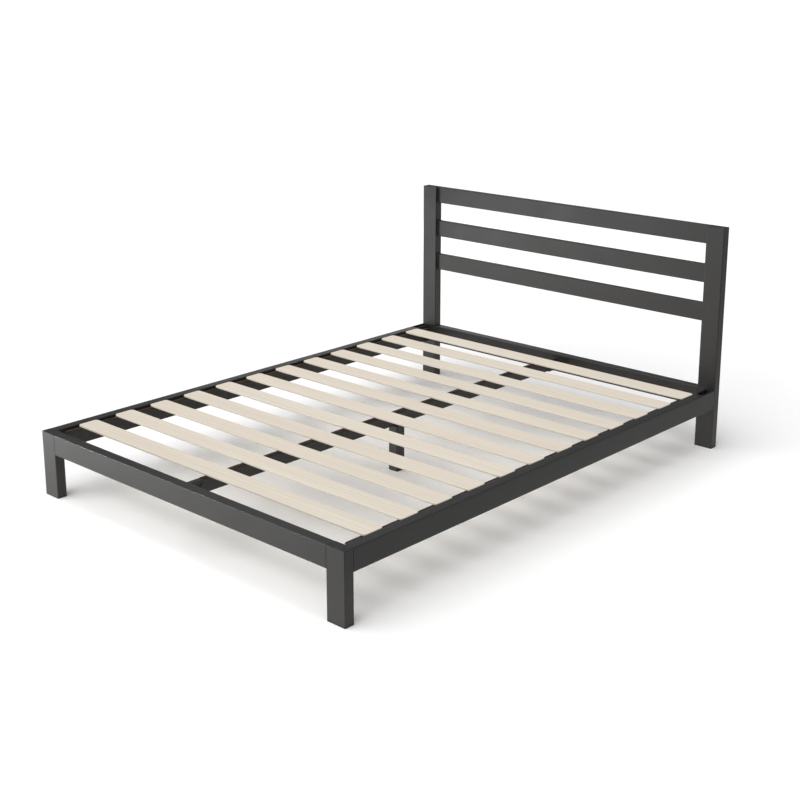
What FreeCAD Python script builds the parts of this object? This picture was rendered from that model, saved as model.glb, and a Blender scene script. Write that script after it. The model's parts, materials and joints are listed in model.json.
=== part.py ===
import FreeCAD, Part
import os
from FreeCAD import Vector

# Metal platform bed frame with a three-bar headboard. Millimetres, +Z up.
# Origin: on the floor, under the middle of the frame. +Y runs from the foot to the headboard,
# +X is the right-hand side seen from the foot. The frame is the same on both sides of X = 0.

# ---------------------------------------------------------------- driving dimensions
overall_width = 1608.0
overall_length = 2192.0
deck_height = 254.0            # top of the rails, and of the slats between them
headboard_height = 932.0

# Rectangular steel tube of the rails, legs and headboard posts
tube_wide = 80.0
tube_narrow = 40.0
tube_wall = 1.5
tube_corner = 3.0

# Headboard bars
bar_height = 75.0
bar_depth = 25.0
bar_wall = 1.2
bar_corner = 2.5
bar_gap = 86.5

# Plastic ends of the legs and posts
glide_height = 8.0
glide_plug = 22.0
cap_thickness = 2.0
cap_plug = 9.0
cap_arris = 1.2
plug_clearance = 0.3
plug_wall = 2.5

# Wooden slats
slat_count = 12
slat_width = 85.0
slat_thickness = 8.0
slat_pitch = 167.5
slat_corner = 13.0
slat_arris = 2.4
slat_end_gap = 2.0

# Angle ledge along each side rail, and the grip tape and pads that hold the slats
ledge_leg = 25.0
ledge_wall = 3.0
ledge_end_gap = 26.0
tape_thickness = 2.0
tape_width = 20.0
tape_margin = 1.0              # between a ledge's web and its tape
tape_end_gap = 4.0             # between a ledge's end and its tape
pad_thickness = 2.0
pad_length = 60.0

# Centre rail, its two hangers and its leg
spine_width = 25.0
spine_height = 50.0
spine_wall = 1.5
spine_corner = 2.5
spine_end_gap = 0.5
hanger_wall = 2.5
hanger_plate_wall = 3.0
hanger_length = 70.0
hanger_bolt_reach = 58.0
hanger_bolt_depth = 18.0
hanger_screw_x = 38.0
hanger_plate_width = 110.0
hanger_plate_height = 58.0
hanger_plate_corner = 6.0
hanger_rise = 51.0
hanger_gap = 0.3
leg_square = 45.0
leg_plate_size = 50.0
leg_plate_wall = 3.0
saddle_length = 60.0
saddle_rise = 48.0

# Joint between a side rail and a leg or post
end_plate_wall = 4.0
end_plate_gap = 0.2
joint_bolt_spacing = 40.0
access_slot_width = 30.0
access_slot_length = 86.0

# Fasteners: M8 in the frame joints, M6 at the centre rail
m8_radius = 4.0
m8_head_radius = 7.0
m8_head_height = 4.4
m8_key = 5.0
m8_nut_across_flats = 13.0
m8_nut_height = 6.5
m8_thread_past_nut = 3.0
washer_radius = 8.0
washer_thickness = 1.6
m6_radius = 3.0
m6_head_radius = 6.0
m6_head_height = 3.3
m6_key = 4.0
m6_across_flats = 10.0
m6_hex_height = 4.0
m6_nut_height = 5.0
m6_thread_past_nut = 3.0
thread_gap = 0.1               # between a shank and the nut on it, on radius
hole_gap = 0.5                 # between a shank and a clearance hole, on radius
socket_floor = 0.4             # depth of solid metal under a key socket, as a share of the head
head_rounding = 0.55           # rounding of a button head's crown, as a share of its height
cutter_reach = 3.0             # how far a cutting shape runs past the wall it opens
near = 0.01                    # edges closer to a plane than this lie in it

# ---------------------------------------------------------------- derived positions
half_width = overall_width / 2
half_length = overall_length / 2
side_inner_x = half_width - tube_narrow
side_centre_x = half_width - tube_narrow / 2
leg_inner_x = half_width - tube_wide
inner_y = half_length - tube_narrow        # inner face of the foot and head rails
rail_bottom = deck_height - tube_wide

slat_bottom = deck_height - slat_thickness
slat_half_length = side_inner_x - slat_end_gap
first_slat_y = -slat_pitch * (slat_count - 1) / 2
ledge_top = slat_bottom - pad_thickness - tape_thickness
ledge_half_length = inner_y - ledge_end_gap
tape_centre_x = side_inner_x - ledge_wall - tape_margin - tape_width / 2

spine_top = ledge_top
spine_bottom = spine_top - spine_height
spine_half_length = inner_y - hanger_plate_wall - spine_end_gap
hanger_inner_x = spine_width / 2 + hanger_gap
hanger_outer_x = hanger_inner_x + hanger_wall
hanger_bottom = spine_bottom - hanger_wall
hanger_bolt_y = inner_y - hanger_bolt_reach
hanger_bolt_z = spine_top - hanger_bolt_depth
saddle_bolt_z = spine_top - spine_height / 2
hanger_screw_z = hanger_bottom + hanger_plate_height / 2

joint_bolt_heights = [rail_bottom + tube_wide / 2 - joint_bolt_spacing / 2,
                      rail_bottom + tube_wide / 2 + joint_bolt_spacing / 2]

X_AXIS = Vector(1, 0, 0)
Y_AXIS = Vector(0, 1, 0)
Z_AXIS = Vector(0, 0, 1)


# ---------------------------------------------------------------- general shapes
def block(x0, x1, y0, y1, z0, z1):
    """Box between two opposite corners."""
    return Part.makeBox(x1 - x0, y1 - y0, z1 - z0, Vector(x0, y0, z0))


def edges_along(shape, axis):
    """Straight edges of a shape that run parallel to an axis."""
    found = []
    for edge in shape.Edges:
        direction = edge.tangentAt(edge.FirstParameter)
        if abs(direction.dot(axis)) > 1 - near:
            found.append(edge)
    return found


def rounded_block(x0, x1, y0, y1, z0, z1, axis, radius):
    """Box whose four edges along one axis are rounded."""
    solid = block(x0, x1, y0, y1, z0, z1)
    return solid.makeFillet(radius, edges_along(solid, axis))


def tube(x0, x1, y0, y1, z0, z1, axis, wall, radius):
    """Rectangular tube, open at both ends, that fills the given box and runs along one axis."""
    inset_x = 0.0 if axis == X_AXIS else wall
    inset_y = 0.0 if axis == Y_AXIS else wall
    inset_z = 0.0 if axis == Z_AXIS else wall
    outer = rounded_block(x0, x1, y0, y1, z0, z1, axis, radius)
    inner = rounded_block(x0 + inset_x, x1 - inset_x, y0 + inset_y, y1 - inset_y,
                          z0 + inset_z, z1 - inset_z, axis, radius - wall)
    return outer.cut(inner)


def rod(radius, start, end):
    """Round bar from one point to another."""
    direction = end - start
    return Part.makeCylinder(radius, direction.Length, start, direction)


def hexagon_bar(across_flats, start, end):
    """Hexagonal bar from one point to another, with two flats square to Z, or to X if it is upright."""
    direction = end - start
    upright = abs(direction.dot(Z_AXIS)) > 0.5
    up = X_AXIS if upright else Z_AXIS
    side = direction.cross(up).normalize()
    corner_radius = across_flats / 3 ** 0.5
    points = []
    for index in range(6):
        turn = FreeCAD.Rotation(direction, 60 * index)
        points.append(start + turn.multVec(side) * corner_radius)
    points.append(points[0])
    return Part.Face(Part.makePolygon(points)).extrude(direction)


def button_bolt(radius, head_radius, head_height, key, under_head, tip):
    """Button-head bolt with a hexagon socket: the shank runs from under_head to tip."""
    axis = (under_head - tip).normalize()
    shank = rod(radius - thread_gap, under_head, tip)
    head = Part.makeCylinder(head_radius, head_height, under_head, axis)
    crown = [edge for edge in head.Edges if (edge.CenterOfMass - under_head).dot(axis) > head_height - near]
    head = head.makeFillet(head_height * head_rounding, crown)
    socket = hexagon_bar(key, under_head + axis * (head_height * socket_floor),
                         under_head + axis * (head_height + cutter_reach))
    return shank.fuse(head).removeSplitter().cut(socket)


def nut(radius, across_flats, start, end):
    """Plain hexagon nut between two points on its axis."""
    return hexagon_bar(across_flats, start, end).cut(rod(radius, start, end))


def both_sides(shape):
    """A shape on the right-hand side and its mirror image on the left."""
    return [shape, shape.mirror(Vector(0, 0, 0), X_AXIS)]


def drill(shape, radius, start, end):
    """A shape with one round hole."""
    return shape.cut(rod(radius, start, end))


# ---------------------------------------------------------------- frame tubes
def joint_holes(shape, outer_y, inner_face_y):
    """Drill a leg or post on the right-hand side for the two side rail bolts."""
    for height in joint_bolt_heights:
        shape = drill(shape, m8_radius + hole_gap,
                      Vector(side_centre_x, outer_y, height), Vector(side_centre_x, inner_face_y, height))
    return shape


def front_leg():
    """Right-hand front leg: an upright tube between its glide and its cap."""
    leg = tube(leg_inner_x, half_width, -half_length, -inner_y,
               glide_height, deck_height - cap_thickness, Z_AXIS, tube_wall, tube_corner)
    return joint_holes(leg, -inner_y - tube_wall - 1, -inner_y + 1)


def headboard_post():
    """Right-hand post: the rear leg and the side of the headboard in one tube."""
    post = tube(leg_inner_x, half_width, inner_y, half_length,
                glide_height, headboard_height - cap_thickness, Z_AXIS, tube_wall, tube_corner)
    return joint_holes(post, inner_y + tube_wall + 1, inner_y - 1)


def cross_rail(direction):
    """Rail across the foot (-1) or the head (+1), with holes for the centre rail's hanger."""
    y_near = min(direction * inner_y, direction * half_length)
    rail = tube(-leg_inner_x, leg_inner_x, y_near, y_near + tube_narrow, rail_bottom, deck_height,
                X_AXIS, tube_wall, tube_corner)
    for x in (-hanger_screw_x, hanger_screw_x):
        rail = drill(rail, m6_radius + hole_gap,
                     Vector(x, direction * (inner_y - 1), hanger_screw_z),
                     Vector(x, direction * (inner_y + tube_wall + 1), hanger_screw_z))
    return rail


def access_slot(wall_z):
    """Cutter for a key slot at the head end of the right-hand rail, through its wall at a height.

    The slot runs along the rail. It ends square at the joint plate and round away from it.
    """
    end_y = inner_y - end_plate_wall
    round_y = end_y - access_slot_length + access_slot_width / 2
    flat = block(side_centre_x - access_slot_width / 2, side_centre_x + access_slot_width / 2,
                 round_y, end_y, wall_z - cutter_reach, wall_z + cutter_reach)
    return flat.fuse(rod(access_slot_width / 2, Vector(side_centre_x, round_y, wall_z - cutter_reach),
                         Vector(side_centre_x, round_y, wall_z + cutter_reach)))


def side_rail():
    """Right-hand side rail, with a key slot by each joint: in the top at the head, below at the foot."""
    rail = tube(side_inner_x, half_width, -inner_y, inner_y, rail_bottom, deck_height,
                Y_AXIS, tube_wall, tube_corner)
    foot_slot = access_slot(rail_bottom).mirror(Vector(0, 0, 0), Y_AXIS)
    return rail.cut(access_slot(deck_height)).cut(foot_slot)


def headboard_bar(level):
    """Horizontal bar of the headboard; level 0 is the top one."""
    top = headboard_height - level * (bar_height + bar_gap)
    return tube(-leg_inner_x, leg_inner_x, half_length - bar_depth, half_length, top - bar_height, top,
                X_AXIS, bar_wall, bar_corner)


# ---------------------------------------------------------------- plastic ends
def plug(x0, x1, y0, y1, z0, z1):
    """Open-topped plug that fits inside the tube standing over the given outline."""
    inset = tube_wall + plug_clearance
    corner = tube_corner - inset
    outer = rounded_block(x0 + inset, x1 - inset, y0 + inset, y1 - inset, z0, z1, Z_AXIS, corner)
    hollow = block(x0 + inset + plug_wall, x1 - inset - plug_wall,
                   y0 + inset + plug_wall, y1 - inset - plug_wall, z0 + plug_wall, z1 + 1)
    return outer.cut(hollow)


def glide(x0, x1, y0, y1):
    """Foot of a leg: a flange on the floor and a plug up inside the tube."""
    flange = rounded_block(x0, x1, y0, y1, 0, glide_height, Z_AXIS, tube_corner)
    bottom_edges = [edge for edge in flange.Edges if edge.BoundBox.ZMax < near]
    flange = flange.makeFillet(cap_arris, bottom_edges)
    return flange.fuse(plug(x0, x1, y0, y1, glide_height - plug_wall, glide_height + glide_plug))


def cap(x0, x1, y0, y1, top):
    """Closing cap on top of an upright tube: a thin flange and a plug down inside it."""
    flange = rounded_block(x0, x1, y0, y1, top - cap_thickness, top, Z_AXIS, tube_corner)
    top_edges = [edge for edge in flange.Edges if edge.BoundBox.ZMin > top - near]
    flange = flange.makeFillet(cap_arris, top_edges)
    inset = tube_wall + plug_clearance
    shank = rounded_block(x0 + inset, x1 - inset, y0 + inset, y1 - inset,
                          top - cap_thickness - cap_plug, top - cap_thickness, Z_AXIS, tube_corner - inset)
    hollow = block(x0 + inset + plug_wall, x1 - inset - plug_wall,
                   y0 + inset + plug_wall, y1 - inset - plug_wall,
                   top - cap_thickness - cap_plug - 1, top - cap_thickness)
    return flange.fuse(shank.cut(hollow))


# ---------------------------------------------------------------- slats and what holds them
def slat(index):
    """One wooden slat, with rounded corners and eased edges."""
    centre_y = first_slat_y + index * slat_pitch
    board = rounded_block(-slat_half_length, slat_half_length,
                          centre_y - slat_width / 2, centre_y + slat_width / 2,
                          slat_bottom, deck_height, Z_AXIS, slat_corner)
    rims = [edge for edge in board.Edges
            if edge.BoundBox.ZMin > deck_height - near or edge.BoundBox.ZMax < slat_bottom + near]
    return board.makeFillet(slat_arris, rims)


def slat_ledge():
    """Right-hand ledge: an angle welded along the inner face of the side rail."""
    shelf = block(side_inner_x - ledge_leg, side_inner_x, -ledge_half_length, ledge_half_length,
                  ledge_top - ledge_wall, ledge_top)
    web = block(side_inner_x - ledge_wall, side_inner_x, -ledge_half_length, ledge_half_length,
                ledge_top - ledge_leg, ledge_top)
    return shelf.fuse(web).removeSplitter()


def grip_tape(centre_x, half_length_y):
    """Strip of grip tape along a ledge or the centre rail."""
    return block(centre_x - tape_width / 2, centre_x + tape_width / 2, -half_length_y, half_length_y,
                 ledge_top, ledge_top + tape_thickness)


def slat_pads(centre_x):
    """One grip pad under every slat, in line along the frame."""
    pads = []
    for index in range(slat_count):
        centre_y = first_slat_y + index * slat_pitch
        pads.append(block(centre_x - tape_width / 2, centre_x + tape_width / 2,
                          centre_y - pad_length / 2, centre_y + pad_length / 2,
                          slat_bottom - pad_thickness, slat_bottom))
    return Part.makeCompound(pads)


# ---------------------------------------------------------------- centre rail and its supports
def cross_hole(shape, y, z):
    """Hole across the frame for one M6 cross bolt of the centre rail."""
    reach = hanger_outer_x + 1
    return drill(shape, m6_radius + hole_gap, Vector(-reach, y, z), Vector(reach, y, z))


def centre_rail():
    """Rail down the middle of the frame that carries the slats."""
    rail = tube(-spine_width / 2, spine_width / 2, -spine_half_length, spine_half_length,
                spine_bottom, spine_top, Y_AXIS, spine_wall, spine_corner)
    rail = cross_hole(rail, -hanger_bolt_y, hanger_bolt_z)
    rail = cross_hole(rail, hanger_bolt_y, hanger_bolt_z)
    return cross_hole(rail, 0, saddle_bolt_z)


def channel(y0, y1, top):
    """U-shaped channel around the underside and both sides of the centre rail."""
    outer = block(-hanger_outer_x, hanger_outer_x, y0, y1, hanger_bottom, top)
    inner = block(-hanger_inner_x, hanger_inner_x, y0, y1, spine_bottom, top)
    return outer.cut(inner)


def centre_rail_hanger():
    """Hanger at the head end: a channel for the rail's end on a plate screwed to the head rail."""
    plate_y = inner_y - hanger_plate_wall
    plate = rounded_block(-hanger_plate_width / 2, hanger_plate_width / 2, plate_y, inner_y,
                          hanger_bottom, hanger_bottom + hanger_plate_height, Y_AXIS,
                          hanger_plate_corner)
    for x in (-hanger_screw_x, hanger_screw_x):
        plate = drill(plate, m6_radius + hole_gap,
                      Vector(x, plate_y - 1, hanger_screw_z), Vector(x, inner_y + 1, hanger_screw_z))
    arm = channel(inner_y - hanger_length, plate_y, hanger_bottom + hanger_rise)
    return cross_hole(plate.fuse(arm).removeSplitter(), hanger_bolt_y, hanger_bolt_z)


def centre_leg():
    """Square leg under the middle of the centre rail."""
    half = leg_square / 2
    return tube(-half, half, -half, half, glide_height, hanger_bottom - leg_plate_wall,
                Z_AXIS, tube_wall, tube_corner)


def centre_leg_plate():
    """Plate that closes the top of the centre leg and carries its saddle."""
    half = leg_plate_size / 2
    return rounded_block(-half, half, -half, half, hanger_bottom - leg_plate_wall, hanger_bottom,
                         Z_AXIS, tube_corner)


def centre_leg_saddle():
    """Channel on the centre leg that holds the rail."""
    saddle = channel(-saddle_length / 2, saddle_length / 2, hanger_bottom + saddle_rise)
    return cross_hole(saddle, 0, saddle_bolt_z)


# ---------------------------------------------------------------- plates and fasteners
def joint_points(face_y, direction):
    """Axis points of the four joints' bolts at one end: positions on the leg's or post's face."""
    points = []
    for x in (-side_centre_x, side_centre_x):
        for height in joint_bolt_heights:
            points.append((Vector(x, face_y, height), Y_AXIS * direction))
    return points


def all_joint_points():
    """Every side rail bolt's position on the leg or post face, with the way it is driven."""
    return joint_points(-inner_y, -1) + joint_points(inner_y, 1)


def rail_end_plates():
    """Plates welded inside the ends of the side rails, drilled for the joint bolts."""
    inset = tube_wall + end_plate_gap
    plate = rounded_block(side_inner_x + inset, half_width - inset, inner_y - end_plate_wall, inner_y,
                          rail_bottom + inset, deck_height - inset, Y_AXIS, tube_corner - inset)
    for height in joint_bolt_heights:
        plate = drill(plate, m8_radius + hole_gap,
                      Vector(side_centre_x, inner_y - end_plate_wall - 1, height),
                      Vector(side_centre_x, inner_y + 1, height))
    head_plates = both_sides(plate)
    foot_plates = both_sides(plate.mirror(Vector(0, 0, 0), Y_AXIS))
    return Part.makeCompound(head_plates + foot_plates)


def joint_bolts():
    """Bolts from inside the side rails into the legs and posts."""
    bolts = []
    for point, driven in all_joint_points():
        under_head = point - driven * (end_plate_wall + washer_thickness)
        tip = point + driven * (tube_wall + m8_nut_height + m8_thread_past_nut)
        bolts.append(button_bolt(m8_radius, m8_head_radius, m8_head_height, m8_key, under_head, tip))
    return Part.makeCompound(bolts)


def joint_washers():
    """Washers under the joint bolts' heads."""
    washers = []
    for point, driven in all_joint_points():
        start = point - driven * (end_plate_wall + washer_thickness)
        end = point - driven * end_plate_wall
        washers.append(rod(washer_radius, start, end).cut(rod(m8_radius + hole_gap, start, end)))
    return Part.makeCompound(washers)


def joint_nuts():
    """Nuts welded inside the legs and posts."""
    nuts = []
    for point, driven in all_joint_points():
        start = point + driven * tube_wall
        nuts.append(nut(m8_radius, m8_nut_across_flats, start, start + driven * m8_nut_height))
    return Part.makeCompound(nuts)


def hanger_screw_points():
    """Every hanger screw's position on the foot or head rail's inner face, with the way it is driven."""
    points = []
    for direction in (-1, 1):
        for x in (-hanger_screw_x, hanger_screw_x):
            points.append((Vector(x, direction * inner_y, hanger_screw_z), Y_AXIS * direction))
    return points


def hanger_screws():
    """Screws that hold the hangers to the foot and head rails."""
    screws = []
    for point, driven in hanger_screw_points():
        under_head = point - driven * hanger_plate_wall
        tip = point + driven * (tube_wall + m6_nut_height + m6_thread_past_nut)
        screws.append(button_bolt(m6_radius, m6_head_radius, m6_head_height, m6_key, under_head, tip))
    return Part.makeCompound(screws)


def hanger_nuts():
    """Nuts welded inside the foot and head rails for the hanger screws."""
    nuts = []
    for point, driven in hanger_screw_points():
        start = point + driven * tube_wall
        nuts.append(nut(m6_radius, m6_across_flats, start, start + driven * m6_nut_height))
    return Part.makeCompound(nuts)


def cross_bolt_points():
    """Middle of each M6 cross bolt of the centre rail."""
    return [Vector(0, -hanger_bolt_y, hanger_bolt_z), Vector(0, hanger_bolt_y, hanger_bolt_z),
            Vector(0, 0, saddle_bolt_z)]


def cross_bolts():
    """Hexagon-head bolts through the hangers, the saddle and the centre rail."""
    bolts = []
    for centre in cross_bolt_points():
        head_start = centre + X_AXIS * hanger_outer_x
        head = hexagon_bar(m6_across_flats, head_start, head_start + X_AXIS * m6_hex_height)
        reach = hanger_outer_x + m6_nut_height + m6_thread_past_nut
        shank = rod(m6_radius - thread_gap, head_start, centre - X_AXIS * reach)
        bolts.append(head.fuse(shank).removeSplitter())
    return Part.makeCompound(bolts)


def cross_bolt_nuts():
    """Nuts on the cross bolts."""
    nuts = []
    for centre in cross_bolt_points():
        start = centre - X_AXIS * hanger_outer_x
        nuts.append(nut(m6_radius, m6_across_flats, start, start - X_AXIS * m6_nut_height))
    return Part.makeCompound(nuts)


# ---------------------------------------------------------------- the whole frame
def paired_nodes(name, shape):
    """Right-hand and left-hand nodes of a mirrored pair."""
    right, left = both_sides(shape)
    return {name + "_right": right, name + "_left": left}


def build_nodes():
    """Every node of the frame by name."""
    nodes = {}
    nodes.update(paired_nodes("front_leg", front_leg()))
    nodes["foot_rail"] = cross_rail(-1)
    nodes["head_rail"] = cross_rail(1)
    nodes.update(paired_nodes("side_rail", side_rail()))
    nodes.update(paired_nodes("headboard_post", headboard_post()))
    for level, place in enumerate(["top", "middle", "bottom"]):
        nodes["headboard_bar_" + place] = headboard_bar(level)

    front_outline = (leg_inner_x, half_width, -half_length, -inner_y)
    rear_outline = (leg_inner_x, half_width, inner_y, half_length)
    centre_outline = (-leg_square / 2, leg_square / 2, -leg_square / 2, leg_square / 2)
    nodes.update(paired_nodes("front_leg_cap", cap(*front_outline, deck_height)))
    nodes.update(paired_nodes("post_cap", cap(*rear_outline, headboard_height)))
    nodes.update(paired_nodes("front_glide", glide(*front_outline)))
    nodes.update(paired_nodes("rear_glide", glide(*rear_outline)))
    nodes["centre_glide"] = glide(*centre_outline)

    for index in range(slat_count):
        nodes["slat_%02d" % (index + 1)] = slat(index)
    nodes.update(paired_nodes("slat_ledge", slat_ledge()))
    nodes.update(paired_nodes("ledge_tape", grip_tape(tape_centre_x, ledge_half_length - tape_end_gap)))
    nodes["centre_tape"] = grip_tape(0, inner_y - hanger_length)
    nodes.update(paired_nodes("slat_pads", slat_pads(tape_centre_x)))
    nodes["slat_pads_centre"] = slat_pads(0)

    nodes["centre_rail"] = centre_rail()
    nodes["hanger_head"] = centre_rail_hanger()
    nodes["hanger_foot"] = centre_rail_hanger().mirror(Vector(0, 0, 0), Y_AXIS)
    nodes["centre_leg"] = centre_leg()
    nodes["centre_leg_plate"] = centre_leg_plate()
    nodes["centre_leg_saddle"] = centre_leg_saddle()

    nodes["rail_end_plates"] = rail_end_plates()
    nodes["joint_bolts"] = joint_bolts()
    nodes["joint_washers"] = joint_washers()
    nodes["joint_nuts"] = joint_nuts()
    nodes["hanger_screws"] = hanger_screws()
    nodes["hanger_nuts"] = hanger_nuts()
    nodes["cross_bolts"] = cross_bolts()
    nodes["cross_bolt_nuts"] = cross_bolt_nuts()
    return nodes


os.makedirs("parts", exist_ok=True)
for node_name, node_shape in build_nodes().items():
    node_shape.exportStep("parts/" + node_name + ".step")
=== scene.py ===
import json
import math
import bpy
from mathutils import Matrix, Vector


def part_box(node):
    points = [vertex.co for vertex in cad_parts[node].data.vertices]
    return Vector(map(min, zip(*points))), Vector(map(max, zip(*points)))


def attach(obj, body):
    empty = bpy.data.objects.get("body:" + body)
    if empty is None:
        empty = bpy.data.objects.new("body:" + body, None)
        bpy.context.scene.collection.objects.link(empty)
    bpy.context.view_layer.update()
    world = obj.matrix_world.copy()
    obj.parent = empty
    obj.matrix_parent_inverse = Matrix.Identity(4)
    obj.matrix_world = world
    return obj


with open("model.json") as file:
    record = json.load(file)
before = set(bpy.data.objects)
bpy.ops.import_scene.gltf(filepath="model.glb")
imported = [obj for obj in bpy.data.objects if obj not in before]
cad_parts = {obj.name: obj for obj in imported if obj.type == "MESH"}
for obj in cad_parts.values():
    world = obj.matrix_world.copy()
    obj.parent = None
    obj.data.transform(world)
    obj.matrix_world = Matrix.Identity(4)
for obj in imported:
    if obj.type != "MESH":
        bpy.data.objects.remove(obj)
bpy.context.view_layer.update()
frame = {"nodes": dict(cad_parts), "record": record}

# Metal bed frame: satin charcoal powder coat on steel tube, pale planed slats, dark grip tape under them,
# black moulded plastic ends, black oxide on the fasteners that show and zinc plate on the hidden ones.
# Metres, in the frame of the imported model: +Y runs from the foot to the headboard, +X to the right seen
# from the foot.

# ---------------------------------------------------------------- sizes of the added detail
BEAD_LEG = 0.0030            # leg of the weld beads on the frame's tubes
SMALL_BEAD_LEG = 0.0019      # leg of the beads on the ledges and brackets under the deck
BEAD_SINK = 0.0002           # how far a bead's root is buried in the corner
BEAD_RIPPLE = 0.0013         # distance from one weld ripple to the next
BEAD_STEP = BEAD_RIPPLE / 4  # distance from one ring of a bead's mesh to the next
RIPPLE_DEPTH = 0.07          # ripple height, as a share of the leg
BEAD_TAPER = 0.0030          # length in which a bead's end would grow by a full leg
BEAD_END = 0.35              # leg at a bead's very end, as a share of the full leg
BEAD_CROWN = ((0.86, 0.36), (0.62, 0.62), (0.36, 0.86))    # its rounded face, as shares of the leg
STITCH_LENGTH = 0.030        # length of each stitch weld under a ledge
STITCH_PITCH = 0.290         # distance from one stitch to the next
TUBE_CORNER = 0.003          # corner radius of the legs, posts, rails and centre leg
BAR_CORNER = 0.0025          # corner radius of the headboard's bars
BAR_CORNER_STEPS = 4         # flats that a bead takes round a bar's corner
HANGER_PLATE_WALL = 0.003    # thickness of the hangers' plates
FLOOR_REACH = 400.0          # the floor's half width, so that it meets the surround at the horizon

SLAT_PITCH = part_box("slat_02")[0].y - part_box("slat_01")[0].y
FIRST_SLAT_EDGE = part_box("slat_01")[0].y
SADDLE_LOW, SADDLE_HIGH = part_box("centre_leg_saddle")


# ---------------------------------------------------------------- shader helpers
class Shader:
    """One node material: its tree, its Principled shader and short ways to add nodes."""

    def __init__(self, name):
        self.material = bpy.data.materials.new(name)
        self.material.use_nodes = True
        self.tree = self.material.node_tree
        self.tree.nodes.clear()
        self.bsdf = self.tree.nodes.new("ShaderNodeBsdfPrincipled")
        output = self.tree.nodes.new("ShaderNodeOutputMaterial")
        self.link(self.bsdf.outputs["BSDF"], output.inputs["Surface"])
        self.place = self.tree.nodes.new("ShaderNodeTexCoord").outputs["Object"]

    def link(self, source, target):
        self.tree.links.new(source, target)

    def feed(self, target, value):
        """Sets a socket to a number or colour, or links another socket to it."""
        if isinstance(value, bpy.types.NodeSocket):
            self.link(value, target)
        else:
            target.default_value = value

    def mapped(self, vector, scale, shift=None):
        """A vector times a scale along each axis, and moved by a shift."""
        node = self.tree.nodes.new("ShaderNodeMapping")
        self.link(vector, node.inputs["Vector"])
        node.inputs["Scale"].default_value = scale
        if shift is not None:
            self.link(shift, node.inputs["Location"])
        return node.outputs["Vector"]

    def stretched(self, x, y, z):
        """The object's own coordinates, in metres, times a scale along each axis."""
        return self.mapped(self.place, (x, y, z))

    def noise(self, vector, scale, detail, roughness=0.5, distortion=0.0):
        node = self.tree.nodes.new("ShaderNodeTexNoise")
        self.link(vector, node.inputs["Vector"])
        node.inputs["Scale"].default_value = scale
        node.inputs["Detail"].default_value = detail
        node.inputs["Roughness"].default_value = roughness
        node.inputs["Distortion"].default_value = distortion
        return node.outputs["Fac"]

    def voronoi(self, vector, scale):
        node = self.tree.nodes.new("ShaderNodeTexVoronoi")
        self.link(vector, node.inputs["Vector"])
        node.inputs["Scale"].default_value = scale
        return node.outputs["Distance"]

    def wave(self, vector, scale, distortion, detail, detail_scale):
        """Wavy bands, one after another along Y."""
        node = self.tree.nodes.new("ShaderNodeTexWave")
        node.bands_direction = "Y"
        self.link(vector, node.inputs["Vector"])
        node.inputs["Scale"].default_value = scale
        node.inputs["Distortion"].default_value = distortion
        node.inputs["Detail"].default_value = detail
        node.inputs["Detail Scale"].default_value = detail_scale
        return node.outputs["Fac"]

    def math(self, operation, a, b=0.0):
        node = self.tree.nodes.new("ShaderNodeMath")
        node.operation = operation
        self.feed(node.inputs[0], a)
        self.feed(node.inputs[1], b)
        return node.outputs[0]

    def spread(self, value, low, high, to_low=0.0, to_high=1.0):
        """Maps the range low..high of a value to another range, clamped."""
        node = self.tree.nodes.new("ShaderNodeMapRange")
        self.link(value, node.inputs["Value"])
        node.inputs["From Min"].default_value = low
        node.inputs["From Max"].default_value = high
        node.inputs["To Min"].default_value = to_low
        node.inputs["To Max"].default_value = to_high
        return node.outputs["Result"]

    def blend(self, share, a, b):
        """Mixes two colours: a where the share is 0, b where it is 1."""
        node = self.tree.nodes.new("ShaderNodeMix")
        node.data_type = "RGBA"
        self.feed(node.inputs["Factor"], share)
        sockets = [s for s in node.inputs if s.type == "RGBA"]
        self.feed(sockets[0], a)
        self.feed(sockets[1], b)
        return [s for s in node.outputs if s.type == "RGBA"][0]

    def axis(self, vector, index):
        """One coordinate of a vector: 0 for X, 1 for Y, 2 for Z."""
        node = self.tree.nodes.new("ShaderNodeSeparateXYZ")
        self.link(vector, node.inputs[0])
        return node.outputs[index]

    def random(self, value):
        """A steady random number from 0 to 1 for each whole number."""
        node = self.tree.nodes.new("ShaderNodeTexWhiteNoise")
        node.noise_dimensions = "1D"
        self.link(value, node.inputs["W"])
        return node.outputs["Value"]

    def bump(self, height, depth, below=None):
        """Raises the surface by a height map of 0 to 1, depth metres high, on top of the bump below."""
        node = self.tree.nodes.new("ShaderNodeBump")
        node.inputs["Strength"].default_value = 1.0
        node.inputs["Distance"].default_value = depth
        self.link(height, node.inputs["Height"])
        if below is not None:
            self.link(below, node.inputs["Normal"])
        return node.outputs["Normal"]

    def finish(self, **sockets):
        """Sets or links the shader's own sockets and returns the material."""
        names = {"color": "Base Color", "roughness": "Roughness", "metallic": "Metallic",
                 "normal": "Normal", "specular": "Specular IOR Level"}
        for key, value in sockets.items():
            self.feed(self.bsdf.inputs[names[key]], value)
        return self.material


def rgb(red, green, blue):
    return (red, green, blue, 1.0)


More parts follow.
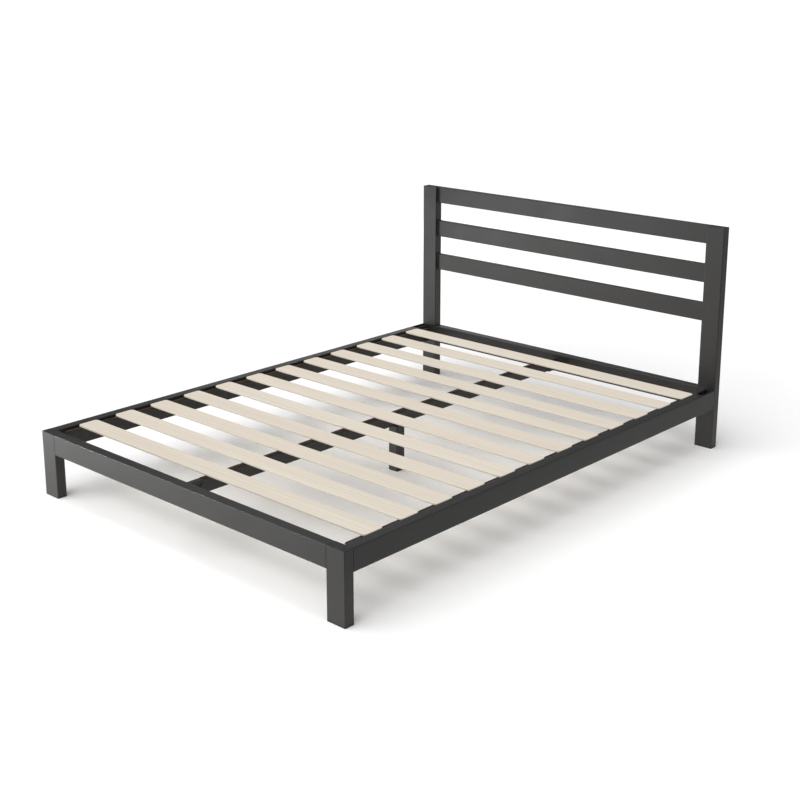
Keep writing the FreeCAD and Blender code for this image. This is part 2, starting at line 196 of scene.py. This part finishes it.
# ---------------------------------------------------------------- materials
def powder_coat():
    """Satin charcoal powder coat: orange peel, a fine tooth, and slight clouding of tone and gloss."""
    s = Shader("charcoal_powder_coat")
    even = s.stretched(1, 1, 1)
    cloud = s.noise(even, 7.0, detail=3.0)
    mottle = s.noise(even, 160.0, detail=2.0)
    peel = s.noise(even, 420.0, detail=1.0)
    tooth = s.noise(even, 2300.0, detail=2.0, roughness=0.6)
    speck = s.spread(s.voronoi(even, 1500.0), 0.10, 0.22, 1.0, 0.0)
    base = s.blend(s.spread(cloud, 0.35, 0.65), rgb(0.0175, 0.0170, 0.0172), rgb(0.0215, 0.0210, 0.0210))
    base = s.blend(s.spread(mottle, 0.35, 0.70, 0.0, 0.35), base, rgb(0.027, 0.0265, 0.0265))
    base = s.blend(s.math("MULTIPLY", speck, 0.25), base, rgb(0.055, 0.054, 0.054))
    gloss = s.math("ADD", s.spread(cloud, 0.30, 0.70, 0.38, 0.44), s.spread(tooth, 0.3, 0.7, -0.03, 0.05))
    skin = s.bump(peel, 0.00012)
    skin = s.bump(tooth, 0.00003, skin)
    return s.finish(color=base, roughness=gloss, normal=skin, specular=0.5)


def slat_wood():
    """Pale planed softwood: flat-sawn figure, fibre and pores along each slat, end grain on its ends.

    Each slat has its own tone and shows another part of the log.
    """
    s = Shader("planed_slat")
    across = s.axis(s.place, 1)
    board = s.math("FLOOR", s.math("DIVIDE", s.math("SUBTRACT", across, FIRST_SLAT_EDGE), SLAT_PITCH))
    chance = s.random(board)
    log = s.mapped(s.place, (1, 1, 1), s.math("MULTIPLY", chance, 37.0))

    figure = s.wave(s.mapped(log, (0.55, 9.0, 9.0)), 1.9, distortion=9.0, detail=3.0, detail_scale=1.1)
    band = s.noise(s.mapped(log, (1.1, 26.0, 26.0)), 1.0, detail=4.0, roughness=0.55, distortion=0.4)
    fibre = s.noise(s.mapped(log, (9.0, 620.0, 620.0)), 1.0, detail=3.0, roughness=0.6)
    pore = s.noise(s.mapped(log, (45.0, 1900.0, 1900.0)), 1.0, detail=1.0)
    tone = s.noise(s.mapped(log, (1.4, 7.0, 7.0)), 1.0, detail=1.0)
    rings = s.noise(s.mapped(log, (60.0, 130.0, 420.0)), 1.0, detail=2.0)

    pale, warm, dark = rgb(0.775, 0.72, 0.625), rgb(0.72, 0.655, 0.55), rgb(0.58, 0.50, 0.39)
    wood = s.blend(s.spread(band, 0.30, 0.72), pale, warm)
    wood = s.blend(s.spread(figure, 0.55, 1.0, 0.0, 0.28), wood, dark)
    wood = s.blend(s.spread(fibre, 0.50, 0.75, 0.0, 0.25), wood, dark)
    wood = s.blend(s.spread(pore, 0.64, 0.74, 0.0, 0.30), wood, rgb(0.42, 0.33, 0.24))
    wood = s.blend(s.spread(tone, 0.35, 0.65, 0.0, 0.30), wood, rgb(0.72, 0.635, 0.57))
    wood = s.blend(s.spread(chance, 0.0, 1.0, 0.0, 0.22), wood, rgb(0.66, 0.58, 0.465))

    end_grain = s.blend(s.spread(rings, 0.35, 0.65), rgb(0.70, 0.61, 0.48), rgb(0.50, 0.40, 0.28))
    geometry = s.tree.nodes.new("ShaderNodeNewGeometry")
    sideways = s.math("ABSOLUTE", s.axis(geometry.outputs["Normal"], 0))
    wood = s.blend(s.spread(sideways, 0.55, 0.90), wood, end_grain)

    grain = s.bump(fibre, 0.00010)
    grain = s.bump(s.spread(pore, 0.60, 0.74, 1.0, 0.0), 0.00006, grain)
    return s.finish(color=wood, roughness=s.spread(fibre, 0.3, 0.7, 0.50, 0.64), normal=grain, specular=0.35)


def grip_tape():
    """Dark brown grip tape: rows of small loops with a nap."""
    s = Shader("grip_tape")
    even = s.stretched(1, 1, 1)
    loops = s.voronoi(even, 900.0)
    nap = s.noise(even, 2600.0, detail=3.0, roughness=0.7)
    wear = s.noise(even, 30.0, detail=2.0)
    base = s.blend(s.spread(loops, 0.05, 0.60), rgb(0.070, 0.048, 0.033), rgb(0.020, 0.0135, 0.0095))
    base = s.blend(s.spread(nap, 0.45, 0.75, 0.0, 0.6), base, rgb(0.098, 0.069, 0.048))
    base = s.blend(s.spread(wear, 0.4, 0.7, 0.0, 0.4), base, rgb(0.105, 0.075, 0.053))
    fuzz = s.bump(s.spread(loops, 0.0, 0.7, 1.0, 0.0), 0.0005)
    fuzz = s.bump(nap, 0.0002, fuzz)
    return s.finish(color=base, roughness=0.95, normal=fuzz, specular=0.10)


def black_plastic():
    """Moulded black plastic with a fine spark-eroded texture."""
    s = Shader("moulded_plastic")
    even = s.stretched(1, 1, 1)
    grit = s.noise(even, 1700.0, detail=2.0, roughness=0.6)
    flow = s.noise(even, 25.0, detail=2.0)
    base = s.blend(s.spread(flow, 0.35, 0.65), rgb(0.018, 0.018, 0.019), rgb(0.027, 0.027, 0.028))
    skin = s.bump(grit, 0.00006)
    return s.finish(color=base, roughness=s.spread(grit, 0.3, 0.7, 0.50, 0.62), normal=skin, specular=0.4)


def black_oxide():
    """Oiled black oxide on small fasteners, worn a little where keys have touched it."""
    s = Shader("black_oxide")
    even = s.stretched(1, 1, 1)
    stain = s.noise(even, 260.0, detail=3.0)
    rub = s.noise(even, 900.0, detail=2.0)
    base = s.blend(s.spread(stain, 0.35, 0.65), rgb(0.018, 0.018, 0.020), rgb(0.032, 0.031, 0.031))
    base = s.blend(s.spread(rub, 0.62, 0.80, 0.0, 0.5), base, rgb(0.10, 0.10, 0.10))
    return s.finish(color=base, roughness=s.spread(stain, 0.3, 0.7, 0.34, 0.46),
                    normal=s.bump(rub, 0.00003), specular=0.5)


def zinc_plate():
    """Zinc plate: bright metal with a faint bloom and fine handling marks."""
    s = Shader("zinc_plate")
    even = s.stretched(1, 1, 1)
    bloom = s.noise(even, 90.0, detail=3.0)
    marks = s.noise(s.stretched(600, 600, 60), 1.0, detail=2.0)
    base = s.blend(s.spread(bloom, 0.35, 0.65), rgb(0.56, 0.57, 0.58), rgb(0.66, 0.655, 0.62))
    shine = s.math("ADD", s.spread(bloom, 0.3, 0.7, 0.26, 0.36), s.spread(marks, 0.3, 0.7, -0.04, 0.06))
    return s.finish(color=base, roughness=shine, metallic=1.0, normal=s.bump(marks, 0.00002))


MATERIALS = {
    "coated_steel": powder_coat(),
    "slat_wood": slat_wood(),
    "grip_tape": grip_tape(),
    "black_plastic": black_plastic(),
    "blackened_steel": black_oxide(),
    "zinc_steel": zinc_plate(),
}


def dress_cad_nodes():
    """Gives every CAD node its slot's material."""
    slots = {part["node"]: part["material_slot"] for part in frame["record"]["subparts"]}
    for name, node in frame["nodes"].items():
        node.data.materials.clear()
        node.data.materials.append(MATERIALS[slots[name]])


# ---------------------------------------------------------------- weld beads
def right_of(run):
    """The direction square to a run in a plane, on its right."""
    return Vector((run.y, -run.x))


def outline(corners, radius):
    """Points along an open path in a plane, rounded at its inner corners, each with the way to its right.

    corners is a list of (u, v), and the path turns left by a right angle at each corner between its ends.
    """
    corners = [Vector(corner) for corner in corners]
    runs = [(end - start).normalized() for start, end in zip(corners, corners[1:])]
    points = [(corners[0], right_of(runs[0]))]
    for corner, run_in, run_out in zip(corners[1:], runs, runs[1:]):
        centre = corner - run_in * radius + run_out * radius
        turn = run_in.angle_signed(run_out)
        for step in range(BAR_CORNER_STEPS + 1):
            share = step / BAR_CORNER_STEPS
            facing = right_of(run_in)
            facing.rotate(Matrix.Rotation(-turn * share, 2))
            points.append((centre + facing * radius, facing))
    points.append((corners[-1], right_of(runs[-1])))
    return points


def even_steps(points):
    """The same path with its points a ring's step apart."""
    closer = []
    for (start, facing), (end, next_facing) in zip(points, points[1:]):
        pieces = max(1, round((end - start).length / BEAD_STEP))
        for index in range(pieces):
            share = index / pieces
            closer.append((start.lerp(end, share), facing.lerp(next_facing, share).normalized()))
    closer.append(points[-1])
    return closer


def weld_bead(points, lift, leg):
    """The rings and faces of a rippled fillet weld.

    points is a list of (place, facing): places along the corner line, and the direction from there
    along the face that the joint stands on. lift is the direction away from that face.
    """
    rings = []
    travelled = 0.0
    total = sum((b[0] - a[0]).length for a, b in zip(points, points[1:]))
    previous = points[0][0]
    for place, facing in points:
        travelled += (place - previous).length
        previous = place
        tail = min(1.0, BEAD_END + min(travelled, total - travelled) / BEAD_TAPER)
        ripple = 1.0 + RIPPLE_DEPTH * math.cos(2 * math.pi * travelled / BEAD_RIPPLE)
        size = leg * tail * ripple
        root = place - (facing + lift) * BEAD_SINK
        crown = [root + (facing * out + lift * up) * size for out, up in BEAD_CROWN]
        rings.append([root, root + facing * (size + BEAD_SINK), *crown, root + lift * (size + BEAD_SINK)])
    sides = len(rings[0])
    faces = []
    for index in range(len(rings) - 1):
        near = index * sides
        far = near + sides
        for side in range(sides):
            after = (side + 1) % sides
            faces.append((near + side, near + after, far + after, far + side))
    last = (len(rings) - 1) * sides
    faces.append(tuple(reversed(range(sides))))
    faces.append(tuple(range(last, last + sides)))
    return rings, faces


def add_piece(name, groups, slot):
    """One mesh object from several (rings, faces) groups, riding on the frame."""
    vertices = []
    faces = []
    for rings, ring_faces in groups:
        first = len(vertices)
        vertices.extend(point for ring in rings for point in ring)
        faces.extend(tuple(first + corner for corner in face) for face in ring_faces)
    mesh = bpy.data.meshes.new(name)
    mesh.from_pydata(vertices, [], faces)
    mesh.validate()
    piece = bpy.data.objects.new(name, mesh)
    bpy.context.scene.collection.objects.link(piece)
    bpy.context.view_layer.objects.active = piece
    piece.select_set(True)
    bpy.ops.object.mode_set(mode="EDIT")
    bpy.ops.mesh.select_all(action="SELECT")
    bpy.ops.mesh.normals_make_consistent(inside=False)
    bpy.ops.object.mode_set(mode="OBJECT")
    piece.select_set(False)
    mesh.shade_smooth()
    mesh.materials.append(MATERIALS[slot])
    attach(piece, "root")


def bar_welds():
    """Beads where the headboard's bars meet the posts: below, in front and, except on the top bar, above."""
    for place in ("top", "middle", "bottom"):
        low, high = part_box("headboard_bar_" + place)
        groups = []
        for side in (-1, 1):
            corners = [(high.y - BAR_CORNER, low.z), (low.y, low.z), (low.y, high.z)]
            if place == "top":
                corners[-1] = (low.y, high.z - BAR_CORNER)
            else:
                corners.append((high.y - BAR_CORNER, high.z))
            path = even_steps(outline([(-u, v) for u, v in corners], BAR_CORNER))
            points = [(Vector((side * high.x, -u.x, u.y)), Vector((0, -n.x, n.y))) for u, n in path]
            groups.append(weld_bead(points, Vector((-side, 0, 0)), BEAD_LEG))
        add_piece("weld_bar_" + place, groups, "coated_steel")


def straight(start, end, facing):
    """A straight path for a bead."""
    pieces = max(2, round((end - start).length / BEAD_STEP))
    return [(start.lerp(end, index / pieces), facing) for index in range(pieces + 1)]


def rail_welds():
    """Beads under the foot and head rails, where they meet the legs and posts."""
    down = Vector((0, 0, -1))
    for name in ("foot_rail", "head_rail"):
        low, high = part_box(name)
        groups = []
        for side in (-1, 1):
            start = Vector((side * high.x, low.y + TUBE_CORNER, low.z))
            end = Vector((side * high.x, high.y - TUBE_CORNER, low.z))
            groups.append(weld_bead(straight(start, end, down), Vector((-side, 0, 0)), BEAD_LEG))
        add_piece("weld_" + name, groups, "coated_steel")


def ledge_welds():
    """Stitch welds along the lower edge of each ledge."""
    down = Vector((0, 0, -1))
    for name, side in (("left", -1), ("right", 1)):
        low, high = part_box("slat_ledge_" + name)
        face_x = high.x if side > 0 else low.x
        count = int((high.y - low.y) / STITCH_PITCH)
        first = (low.y + high.y - STITCH_PITCH * (count - 1)) / 2
        groups = []
        for index in range(count):
            middle = first + index * STITCH_PITCH
            start = Vector((face_x, middle - STITCH_LENGTH / 2, low.z))
            end = Vector((face_x, middle + STITCH_LENGTH / 2, low.z))
            groups.append(weld_bead(straight(start, end, down), Vector((-side, 0, 0)), SMALL_BEAD_LEG))
        add_piece("weld_ledge_" + name, groups, "coated_steel")


def hanger_welds():
    """Upright beads where the hangers' channels meet their plates.

    The channels are as wide as the centre leg's saddle and a bead's leg higher, so the beads end at its top.
    """
    for name, toward in (("hanger_foot", 1), ("hanger_head", -1)):
        low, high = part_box(name)
        face_y = low.y + HANGER_PLATE_WALL if toward > 0 else high.y - HANGER_PLATE_WALL
        groups = []
        for side, x in ((-1, SADDLE_LOW.x), (1, SADDLE_HIGH.x)):
            start = Vector((x, face_y, low.z + BEAD_LEG))
            end = Vector((x, face_y, SADDLE_HIGH.z))
            path = straight(start, end, Vector((side, 0, 0)))
            groups.append(weld_bead(path, Vector((0, toward, 0)), SMALL_BEAD_LEG))
        add_piece("weld_" + name, groups, "coated_steel")


def centre_leg_welds():
    """Beads along the saddle on the centre leg's plate, and round the leg under the plate."""
    plate_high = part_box("centre_leg_plate")[1]
    leg_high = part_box("centre_leg")[1]
    groups = []
    reach = plate_high.y - 2 * TUBE_CORNER
    for side, x in ((-1, SADDLE_LOW.x), (1, SADDLE_HIGH.x)):
        start = Vector((x, -reach, plate_high.z))
        end = Vector((x, reach, plate_high.z))
        path = straight(start, end, Vector((side, 0, 0)))
        groups.append(weld_bead(path, Vector((0, 0, 1)), SMALL_BEAD_LEG))
    reach = leg_high.x - TUBE_CORNER
    for turn in range(4):
        spin = Matrix.Rotation(turn * math.pi / 2, 3, "Z")
        start = spin @ Vector((leg_high.x, -reach, 0)) + Vector((0, 0, leg_high.z))
        end = spin @ Vector((leg_high.x, reach, 0)) + Vector((0, 0, leg_high.z))
        path = straight(start, end, spin @ Vector((1, 0, 0)))
        groups.append(weld_bead(path, Vector((0, 0, -1)), SMALL_BEAD_LEG))
    add_piece("weld_centre_leg", groups, "coated_steel")


# ---------------------------------------------------------------- studio
def studio_floor():
    """A wide pale floor. Light and reflections see it warmer and dimmer, with painted shade at its right and
    far in front, so the frame reflects it darker there, as if flagged off.
    """
    mesh = bpy.data.meshes.new("floor")
    corners = [(x * FLOOR_REACH, y * FLOOR_REACH, 0) for x, y in ((-1, -1), (1, -1), (1, 1), (-1, 1))]
    mesh.from_pydata(corners, [], [(0, 1, 2, 3)])
    floor = bpy.data.objects.new("floor", mesh)
    bpy.context.scene.collection.objects.link(floor)
    s = Shader("studio_floor")
    faint = s.noise(s.stretched(1, 1, 1), 3.0, detail=2.0)
    pale = s.blend(s.spread(faint, 0.3, 0.7), rgb(0.975, 0.975, 0.975), rgb(0.99, 0.99, 0.988))
    # painted shade: to light and reflections the floor is a warmer, dimmer pale that turns grey at its right
    # and far in front, while the camera sees it plain pale
    right = s.spread(s.axis(s.place, 0), 0.75, 1.35)
    front = s.spread(s.axis(s.place, 1), -1.5, -2.4)
    reflected_painted_shade = s.blend(s.math("MAXIMUM", right, front), rgb(0.93, 0.915, 0.885), rgb(0.44, 0.44, 0.44))
    seen = s.tree.nodes.new("ShaderNodeLightPath").outputs["Is Camera Ray"]
    mesh.materials.append(s.finish(color=s.blend(seen, reflected_painted_shade, pale), roughness=0.9, specular=0.2))


def add_light(name, kind, place, target, energy, size, spread=180):
    """A lamp aimed at a target. size is an area lamp's two sides in metres, or a sun's angle in degrees."""
    data = bpy.data.lights.new(name, kind)
    data.energy = energy
    if kind == "AREA":
        data.shape = "RECTANGLE"
        data.size, data.size_y = size
        data.spread = math.radians(spread)
    else:
        data.angle = math.radians(size)
    lamp = bpy.data.objects.new(name, data)
    lamp.location = place
    lamp.rotation_euler = (Vector(target) - lamp.location).to_track_quat("-Z", "Y").to_euler()
    lamp.visible_camera = False
    bpy.context.scene.collection.objects.link(lamp)


def studio_world():
    """A dim even surround, seen as white behind the floor."""
    world = bpy.data.worlds.new("studio")
    bpy.context.scene.world = world
    world.use_nodes = True
    tree = world.node_tree
    background = tree.nodes["Background"]
    background.inputs["Color"].default_value = (1, 1, 1, 1)
    seen = tree.nodes.new("ShaderNodeLightPath").outputs["Is Camera Ray"]
    strength = tree.nodes.new("ShaderNodeMapRange")
    tree.links.new(seen, strength.inputs["Value"])
    strength.inputs["To Min"].default_value = 0.20      # as light and in reflections
    strength.inputs["To Max"].default_value = 1.05      # as the camera sees it
    tree.links.new(strength.outputs["Result"], background.inputs["Strength"])


def studio_light():
    """Broad light from above the foot, and two softboxes at the left.

    The front one is low and gridded, and stands by the foot. The rear one stands behind the head.
    """
    add_light("overhead", "SUN", place=(0, 0, 5), target=(0.35, 2.7, 0), energy=3.15, size=75)
    add_light("front_softbox", "AREA", place=(-3.2, -3.0, 0.10), target=(0, -1.15, 0.10),
              energy=15, size=(2.6, 0.18), spread=66)
    add_light("rear_softbox", "AREA", place=(-3.95, 3.75, 0.95), target=(-0.8, 0.8, 0.25),
              energy=10.5, size=(2.9, 0.7))


def studio_camera():
    """A lens a little longer than normal, beyond the foot's right corner, looking down on the deck."""
    data = bpy.data.cameras.new("camera")
    camera = bpy.data.objects.new("camera", data)
    bpy.context.scene.collection.objects.link(camera)
    data.lens = 60.87
    data.clip_end = 2000.0
    data.shift_y = -0.10
    camera.location = (3.454, -3.7219, 1.9448)
    turn, tilt = math.radians(42.71), math.radians(14.67)
    camera.rotation_euler = (math.radians(90) - tilt, 0, turn)
    bpy.context.scene.camera = camera


# ---------------------------------------------------------------- the whole scene
dress_cad_nodes()
bar_welds()
rail_welds()
ledge_welds()
hanger_welds()
centre_leg_welds()
studio_floor()
studio_world()
studio_light()
studio_camera()
bpy.context.scene.view_settings.view_transform = "Standard"
